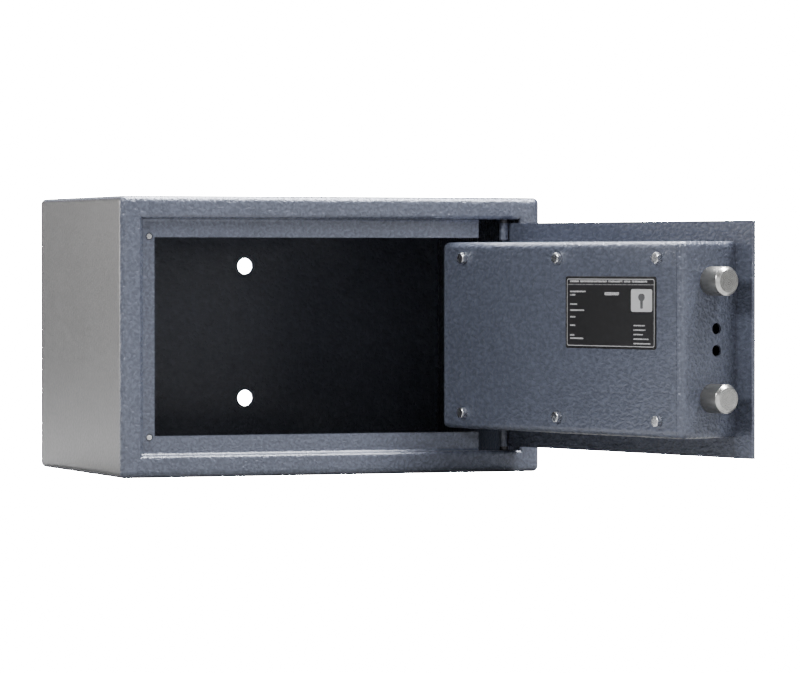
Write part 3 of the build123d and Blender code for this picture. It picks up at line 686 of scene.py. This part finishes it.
class SAFE_OT_finishes(bpy.types.Operator):
    """Gives every CAD piece its finish"""

    bl_idname = "safe.finishes"
    bl_label = "Finishes"

    def execute(self, context):
        scene = context.scene
        for build in (build_hammer_group, build_edge_group, build_brushed_group, build_bar_group):
            build()
        metal = scene.safe_metal
        paint = make_paint("hammered_paint", scene.safe_paint, True)
        door_paint = make_paint("hammered_door_paint", scene.safe_paint, False)
        zinc = make_metal("bright_zinc", tuple(metal.zinc), (350.0, 350.0, 350.0), 0.22, 0.002 * MM)
        steel = make_metal("turned_steel", tuple(metal.steel), (500.0, 500.0, 4000.0), 0.35, 0.01 * MM)
        plated = make_metal(
            "plated_sheet", shade(tuple(metal.zinc), 0.85), (60.0, 2500.0, 2500.0), 0.42, 0.01 * MM, DOOR_TURN
        )
        brass = make_metal(
            "machined_brass", tuple(metal.brass), (60.0, 2500.0, 2500.0), 0.36, 0.01 * MM, DOOR_TURN
        )
        chrome = make_metal(
            "satin_chrome", tuple(metal.chrome), (60.0, 60.0, 3500.0), 0.28, 0.01 * MM, DOOR_TURN
        )
        # near-black steel for the hinge pins and washers: painted shade where they sit in the shadow under the
        # frame
        pin_shade_steel = make_metal("pin_steel_painted_shade", (0.07, 0.07, 0.075), (500.0, 500.0, 4000.0), 0.45, 0.01 * MM)
        nickel = make_metal("nickel", (0.56, 0.53, 0.47), (500.0, 500.0, 2500.0), 0.26, 0.004 * MM)
        by_slot = {
            "zinc_steel": zinc,
            "turned_steel": steel,
            "plated_steel": plated,
            "brass": brass,
            "satin_chrome": chrome,
            "key_nickel": nickel,
            "black_label": chrome,
        }
        bodies = frame["record"]["behaviour"]["bodies"]
        for row in frame["record"]["subparts"]:
            node, slot = row["node"], row["material_slot"]
            if slot == "hammered_paint":
                paint_nodes([node], paint if node in bodies["body"] else door_paint)
            else:
                paint_nodes([node], by_slot[slot])
        # the hinge pins and washers take the near-black steel that paints their shade
        paint_nodes(("hinge_pin_upper", "hinge_pin_lower", "hinge_washers"), pin_shade_steel)
        return {"FINISHED"}


class SAFE_OT_label(bpy.types.Operator):
    """Makes the printed data plate on the cover"""

    bl_idname = "safe.label"
    bl_label = "Data plate"

    def execute(self, context):
        across, into, up = span("data_plate", ACROSS), span("data_plate", INTO), span("data_plate", UP)
        width, height = across[1] - across[0], up[1] - up[0]
        corner, edge = 2.0 * MM, 0.12 * MM
        x, y = rounded_outline(width, height, corner)
        thick = into[1] - into[0]
        middle = ((across[0] + across[1]) / 2, (up[0] + up[1]) / 2)
        # scale across, scale up and depth of each ring, from the middle of the back to that of the face
        steps = [
            (0.0, 0.0, 0.0), (1.0, 1.0, 0.0), (1.0, 1.0, thick - edge),
            (1.0 - 2 * edge / width, 1.0 - 2 * edge / height, thick),
            (0.98, 0.98, thick), (0.6, 0.6, thick), (0.3, 0.3, thick), (0.0, 0.0, thick),
        ]
        rings = [
            door_points(middle[0] + x * wide, into[0] + depth, middle[1] + y * high)
            for wide, high, depth in steps
        ]
        # place on the plate in millimetres, for the print
        marks = [
            np.stack([-x * wide / MM, y * high / MM, np.zeros_like(x)], axis=-1) for wide, high, _ in steps
        ]
        settings = context.scene.safe_label
        plate = skin(
            "label_plate", np.array(rings), "door", make_label(settings),
            {"place": ("FLOAT_VECTOR", np.array(marks))},
        )
        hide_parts("data_plate")
        return {"FINISHED"}


class SAFE_OT_cover_screws(bpy.types.Operator):
    """Makes the six hexagon screws of the cover with crowned heads"""

    bl_idname = "safe.cover_screws"
    bl_label = "Cover screws"

    def execute(self, context):
        across, into, up = span("cover_screws", ACROSS), span("cover_screws", INTO), span("cover_screws", UP)
        face = span("lock_cover", INTO)[1]
        head = into[1] - face
        flats = 7.0 * MM
        corner = flats / 2 / math.cos(math.pi / 6)
        shank, tip_edge = 2.0 * MM, 0.3 * MM
        washer, washer_top = 3.45 * MM, face + 0.3 * MM
        crown, dish = 3.05 * MM, 1.8 * MM
        x, y = hexagon_outline(flats)
        reach = np.hypot(x, y)
        round_x, round_y = x / reach, y / reach
        shoulder, chamfer = np.minimum(reach, 3.66 * MM), np.minimum(reach, 3.2 * MM)
        # one ring per row, from the tip of the shank over the washer face to the crown of the head
        outline = [
            (0 * x, 0 * y, into[0]),
            (round_x * (shank - tip_edge), round_y * (shank - tip_edge), into[0]),
            (round_x * shank, round_y * shank, into[0] + tip_edge),
            (round_x * shank, round_y * shank, face),
            (round_x * washer, round_y * washer, face),
            (round_x * washer, round_y * washer, washer_top),
            (x * 0.985, y * 0.985, face + 0.35 * MM),
            (x, y, face + 0.5 * MM),
            (x, y, face + head - 0.45 * MM),
            (round_x * shoulder, round_y * shoulder, face + head - 0.3 * MM),
            (round_x * chamfer, round_y * chamfer, face + head - 0.02 * MM),
            (round_x * crown, round_y * crown, face + head),
            (round_x * dish, round_y * dish, face + head),
            (0 * x, 0 * y, face + head),
        ]
        material = frame["nodes"]["cover_screws"].data.materials[0]
        for column, a in enumerate(np.linspace(across[0] + flats / 2, across[1] - flats / 2, 3)):
            for row, z in enumerate((up[0] + corner, up[1] - corner)):
                turn = 0.35 + 1.1 * column + 0.7 * row
                cos, sin = math.cos(turn), math.sin(turn)
                rings = [
                    door_points(a + px * cos - py * sin, depth, z + px * sin + py * cos)
                    for px, py, depth in outline
                ]
                screw = skin(
                    f"cover_screw_{column}_{row}", np.array(rings), "door", material
                )
                smooth(screw, 28.0)
                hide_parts("cover_screws")
        return {"FINISHED"}


class SAFE_OT_bolts(bpy.types.Operator):
    """Makes the two turned locking bolts"""

    bl_idname = "safe.bolts"
    bl_label = "Locking bolts"

    def execute(self, context):
        chamfer = 2.0 * MM
        bolt_radius = (span("upper_bolt", UP)[1] - span("upper_bolt", UP)[0]) / 2
        shaft_start = bolt_radius - chamfer + chamfer * math.sqrt(2.0)
        material = make_turned_steel(tuple(context.scene.safe_metal.steel), shaft_start)
        turn = np.linspace(0.0, 2 * math.pi, 96, endpoint=False)
        for node in ("upper_bolt", "lower_bolt"):
            across, into, up = span(node, ACROSS), span(node, INTO), span(node, UP)
            radius = (up[1] - up[0]) / 2
            middle = ((into[0] + into[1]) / 2, (up[0] + up[1]) / 2)
            soft = 0.12 * MM
            tip, end = across
            face = radius - chamfer
            # distance from the tip and radius along the turned outline
            outline = [
                (0.0, 0.0), (0.0, face * 0.35), (0.0, face * 0.7), (0.0, face - soft),
                (soft * 0.3, face), (chamfer - soft, radius - soft), (chamfer + soft, radius),
                ((end - tip) / 2, radius), (end - tip - soft, radius), (end - tip, radius - soft),
                (end - tip, 0.0),
            ]
            rings = []
            marks = []
            run = 0.0
            before = outline[0]
            for along, r in outline:
                run += math.hypot(along - before[0], r - before[1])
                before = (along, r)
                rings.append(
                    door_points(tip + along, middle[0] + r * np.cos(turn), middle[1] + r * np.sin(turn))
                )
                marks.append(np.full(len(turn), run))
            bolt = skin(
                f"{node}_turned", np.array(rings), "bolts", material,
                {"ring": ("FLOAT", np.array(marks))},
            )
            smooth(bolt, 12.0)
            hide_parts(node)
        return {"FINISHED"}


class SAFE_OT_knob(bpy.types.Operator):
    """Makes the turning knob: a fluted base and a waisted grip"""

    bl_idname = "safe.knob"
    bl_label = "Turning knob"

    def execute(self, context):
        across, into, up = span("knob", ACROSS), span("knob", INTO), span("knob", UP)
        middle = ((across[0] + across[1]) / 2, (up[0] + up[1]) / 2)
        front, back = into
        radius = (up[1] - up[0]) / 2
        foot = back - 7.0 * MM
        cut, flutes = 0.55 * MM, 36
        material = frame["nodes"]["knob"].data.materials[0]
        turn = np.linspace(0.0, 2 * math.pi, 288, endpoint=False)
        # radius and depth along the turned outline, and how deep the flutes cut there; a flute takes
        # depth times (1 - cos(flutes * turn)) / 2 off the radius
        outline = [
            (0.0, back, 0.0), (radius * 0.6, back, 0.0), (radius - 1.2 * MM, back, 0.0),
            (radius - 0.3 * MM, back - 0.3 * MM, 0.0), (radius, back - 0.9 * MM, 0.0),
            (radius, back - 1.4 * MM, 0.0), (radius, back - 1.9 * MM, cut),
            (radius, foot + 2.0 * MM, cut), (radius - 0.25 * MM, foot + 1.2 * MM, 0.3 * MM),
            (radius - 0.9 * MM, foot + 0.4 * MM, 0.0), (radius - 1.8 * MM, foot, 0.0),
            (radius - 2.8 * MM, foot, 0.0), (radius - 3.1 * MM, foot + 0.35 * MM, 0.0),
            (radius - 3.7 * MM, foot + 0.35 * MM, 0.0), (radius - 4.0 * MM, foot, 0.0),
            (radius * 0.3, foot - 0.2 * MM, 0.0), (0.0, foot - 0.2 * MM, 0.0),
        ]
        rings = []
        for r, depth, flute in outline:
            reach = r - flute * (1 - np.cos(flutes * turn)) / 2
            rings.append(
                door_points(middle[0] + reach * np.cos(turn), depth, middle[1] + reach * np.sin(turn))
            )
        body = skin("knob_base", np.array(rings), "handle", material)
        smooth(body, 30.0)
        # the grip is a rounded bar: |x/a|^4 + |z/b|^4 = 1, narrowed to a waist and crowned at the front
        half_width = 5.5 * MM
        half_length = radius - 1.6 * MM
        square_x, square_z = signed_power(np.cos(turn), 0.5), signed_power(np.sin(turn), 0.5)
        height = foot - front
        # rise above the base and share of the width and of the length at each ring
        steps = [
            (-1.0 * MM, 0.0, 0.0), (-1.0 * MM, 1.0, 1.0), (0.15 * MM, 1.0, 1.0), (0.9 * MM, 0.9, 0.985),
            (2.4 * MM, 0.8, 0.97), (6.0 * MM, 0.74, 0.95), (height - 3.6 * MM, 0.8, 0.945),
            (height - 1.9 * MM, 0.83, 0.94), (height - 0.9 * MM, 0.79, 0.93),
            (height - 0.3 * MM, 0.66, 0.905), (height - 0.05 * MM, 0.45, 0.86), (height, 0.2, 0.8),
            (height, 0.0, 0.0),
        ]
        rings = [
            door_points(
                middle[0] + square_x * half_width * wide, foot - rise,
                middle[1] + square_z * half_length * long,
            )
            for rise, wide, long in steps
        ]
        grip = skin("knob_grip", np.array(rings), "handle", material)
        smooth(grip, 40.0)
        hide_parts("knob")
        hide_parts("knob")
        return {"FINISHED"}


class SAFE_OT_key(bpy.types.Operator):
    """Makes the key: a soft ring for a bow, a turned shank with a collar, and the bit"""

    bl_idname = "safe.key"
    bl_label = "Key"

    def execute(self, context):
        front, tip = span("key", INTO)
        axis = np.array(joint_named("key_turn")["pos_m"])
        across, up = float(axis @ ACROSS), float(axis @ UP)
        material = frame["nodes"]["key"].data.materials[0]
        # bow: a ring whose section is |r / half width|^n + |t / half thickness|^n = 1 with n = 10/3
        bow_radius, half_wide, half_thick, squareness = 9.0 * MM, 2.98 * MM, 1.74 * MM, 0.6
        turn = np.linspace(0.0, 2 * math.pi, 96, endpoint=False)[:, None]
        section = np.linspace(0.0, 2 * math.pi, 28, endpoint=False)[None, :]
        thick = half_thick * signed_power(np.sin(section), squareness)
        reach = bow_radius + half_wide * signed_power(np.cos(section), squareness)
        middle = front + 12.0 * MM
        bow = loop_skin(
            "key_bow_ring",
            door_points(across + thick, middle + reach * np.cos(turn), up + reach * np.sin(turn)),
            "key_and_bow", material,
        )
        smooth(bow, 50.0)
        # shank: depth behind the front of the key and radius, turned about the key's axis
        angle = turn[:, 0]
        neck, end = 3.5, (tip - front) / MM
        outline = [
            (18.4, 0.0), (18.4, 1.3), (20.0, 1.6), (23.0, 2.4), (24.6, 3.3), (25.4, neck), (25.6, 4.1),
            (26.0, 4.4), (27.0, 4.4), (27.4, 4.1), (27.6, neck), (end - 0.5, neck), (end, 3.0), (end, 0.0),
        ]
        rings = [
            door_points(across + r * MM * np.cos(angle), front + depth * MM, up + r * MM * np.sin(angle))
            for depth, r in outline
        ]
        shank = skin("key_shank", np.array(rings), "key_and_bow", material)
        smooth(shank, 32.0)
        # bit: a rounded plate below the shank, near the tip
        length, low, high = 14.0 * MM, up - 7.0 * MM, up - 2.0 * MM
        along, rise = rounded_outline(length, high - low, 0.4 * MM, 5)
        half, soft = 1.2 * MM, 0.15 * MM
        steps = [
            (0.0, -half), (0.96, -half), (1.0, soft - half), (1.0, half - soft), (0.96, half), (0.0, half),
        ]
        centre = (tip - 2.0 * MM - length / 2, (low + high) / 2)
        rings = [
            door_points(across + side, centre[0] + along * part, centre[1] + rise * part)
            for part, side in steps
        ]
        bit = skin("key_bit", np.array(rings), "key_and_bow", material)
        for piece in (bow, shank, bit):
            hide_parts("key")
        return {"FINISHED"}


class SAFE_OT_stage(bpy.types.Operator):
    """Makes floor, backdrop, lights and camera"""

    bl_idname = "safe.stage"
    bl_label = "Stage"

    def execute(self, context):
        settings = context.scene.safe_stage
        self.make_floor(settings)
        self.make_world(context.scene)
        self.make_lights()
        camera = bpy.data.cameras.new("camera")
        camera.lens = settings.lens
        camera.sensor_width = 36.0
        camera.clip_end = 100.0
        holder = bpy.data.objects.new("camera", camera)
        holder.location = settings.place
        holder.rotation_euler = (math.pi / 2 - settings.dip, 0.0, -settings.turn)
        context.scene.collection.objects.link(holder)
        context.scene.camera = holder
        return {"FINISHED"}

    def make_floor(self, settings):
        """A wide flat floor at the foot of the object."""
        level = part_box("body_shell")[0].z
        size = 30.0
        mesh = bpy.data.meshes.new("floor")
        corners = [(-size, -size, level), (size, -size, level), (size, size, level), (-size, size, level)]
        mesh.from_pydata(corners, [], [(0, 1, 2, 3)])
        floor = bpy.data.objects.new("floor", mesh)
        bpy.context.scene.collection.objects.link(floor)
        material, tree, shader = new_material("pale_floor")
        noise = noise_at(tree, object_place(tree), 6.0, 4.0)
        colour = tuple(settings.floor)
        tree.links.new(
            blend_colour(tree, noise.outputs["Fac"], shade(colour, 0.98), shade(colour, 1.02)),
            shader.inputs["Base Color"],
        )
        shader.inputs["Roughness"].default_value = 0.9
        glow = add(tree, "ShaderNodeEmission", {"Strength": PLAIN_WHITE})
        path = add(tree, "ShaderNodeLightPath")
        lit = add(tree, "ShaderNodeAddShader", {0: shader.outputs[0], 1: glow.outputs[0]})
        mixed = add(
            tree, "ShaderNodeMixShader",
            {0: path.outputs["Is Camera Ray"], 1: shader.outputs[0], 2: lit.outputs[0]},
        )
        output = next(node for node in tree.nodes if node.bl_idname == "ShaderNodeOutputMaterial")
        tree.links.new(mixed.outputs[0], output.inputs["Surface"])
        mesh.materials.append(material)
        floor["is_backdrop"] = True

    def make_world(self, scene):
        """White surroundings: soft light for the object, plain white where nothing stands."""
        world = bpy.data.worlds.new("surroundings")
        world.use_nodes = True
        tree = world.node_tree
        tree.nodes.clear()
        direction = add(tree, "ShaderNodeTexCoord").outputs["Generated"]
        towards = add(
            tree, "ShaderNodeVectorMath", {0: direction, 1: (-0.85, -0.53, 0.0)}, operation="DOT_PRODUCT"
        )
        strength = ease(tree, towards.outputs["Value"], 0.55, 0.85, 0.34, 0.13)
        soft = add(tree, "ShaderNodeBackground", {"Color": (1.0, 1.0, 1.0, 1.0), "Strength": strength})
        plain = add(tree, "ShaderNodeBackground", {"Color": (1.0, 1.0, 1.0, 1.0), "Strength": PLAIN_WHITE})
        path = add(tree, "ShaderNodeLightPath")
        mixed = add(
            tree, "ShaderNodeMixShader",
            {0: path.outputs["Is Camera Ray"], 1: soft.outputs[0], 2: plain.outputs[0]},
        )
        output = tree.nodes.new("ShaderNodeOutputWorld")
        tree.links.new(mixed.outputs[0], output.inputs["Surface"])
        scene.world = world

    def make_lights(self):
        """Soft boxes aimed at the middle of the object."""
        low, high = (np.array(corner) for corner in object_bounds())
        middle = Vector((low + high) / 2)
        white = (1.0, 1.0, 1.0)
        # name, place, width, height, power and colour
        boxes = [
            ("top_box", (0.3, 0.0, 1.5), 2.0, 0.5, 190.0, white),
            ("key_box", (0.9, -1.3, 1.6), 0.35, 0.35, 11.0, white),
            ("left_back_box", (-1.5, 1.5, 0.3), 0.9, 0.5, 13.0, (1.0, 0.95, 0.89)),
            ("back_box", (-0.35, 1.6, 1.5), 1.4, 0.6, 16.0, white),
            ("front_fill", (-0.7, -2.3, 0.5), 1.0, 0.9, 7.0, white),
            ("right_front_box", (0.55, -1.3, 0.35), 0.3, 0.3, 1.1, white),
            ("left_box", (-1.9, -0.9, 1.3), 0.5, 0.5, 52.0, white),
        ]
        for name, place, width, height, power, colour in boxes:
            light = bpy.data.lights.new(name, "AREA")
            light.shape = "RECTANGLE"
            light.size = width
            light.size_y = height
            light.energy = power
            light.color = colour
            holder = bpy.data.objects.new(name, light)
            holder.location = place
            aim = middle - Vector(place)
            holder.rotation_euler = aim.to_track_quat("-Z", "Y").to_euler()
            bpy.context.scene.collection.objects.link(holder)


class SAFE_PT_panel(bpy.types.Panel):
    """Lists the pieces of the safe"""

    bl_label = "Wall safe"
    bl_idname = "SAFE_PT_panel"
    bl_space_type = "VIEW_3D"
    bl_region_type = "UI"
    bl_category = "Safe"

    def draw(self, context):
        for operator in OPERATORS:
            self.layout.operator(operator.bl_idname)


SETTINGS = {
    "safe_paint": SafePaintSettings,
    "safe_metal": SafeMetalSettings,
    "safe_label": SafeLabelSettings,
    "safe_stage": SafeStageSettings,
}
OPERATORS = (
    SAFE_OT_finishes, SAFE_OT_label, SAFE_OT_cover_screws, SAFE_OT_bolts, SAFE_OT_knob, SAFE_OT_key,
    SAFE_OT_stage,
)


def register():
    for name, settings in SETTINGS.items():
        bpy.utils.register_class(settings)
        setattr(bpy.types.Scene, name, bpy.props.PointerProperty(type=settings))
    for operator in OPERATORS:
        bpy.utils.register_class(operator)
    bpy.utils.register_class(SAFE_PT_panel)


def unregister():
    bpy.utils.unregister_class(SAFE_PT_panel)
    for operator in reversed(OPERATORS):
        bpy.utils.unregister_class(operator)
    for name, settings in SETTINGS.items():
        delattr(bpy.types.Scene, name)
        bpy.utils.unregister_class(settings)


def main():
    register()
    bpy.ops.safe.finishes()
    bpy.ops.safe.label()
    bpy.ops.safe.cover_screws()
    bpy.ops.safe.bolts()
    bpy.ops.safe.knob()
    bpy.ops.safe.key()
    bpy.ops.safe.stage()


if __name__ == "__main__":
    main()
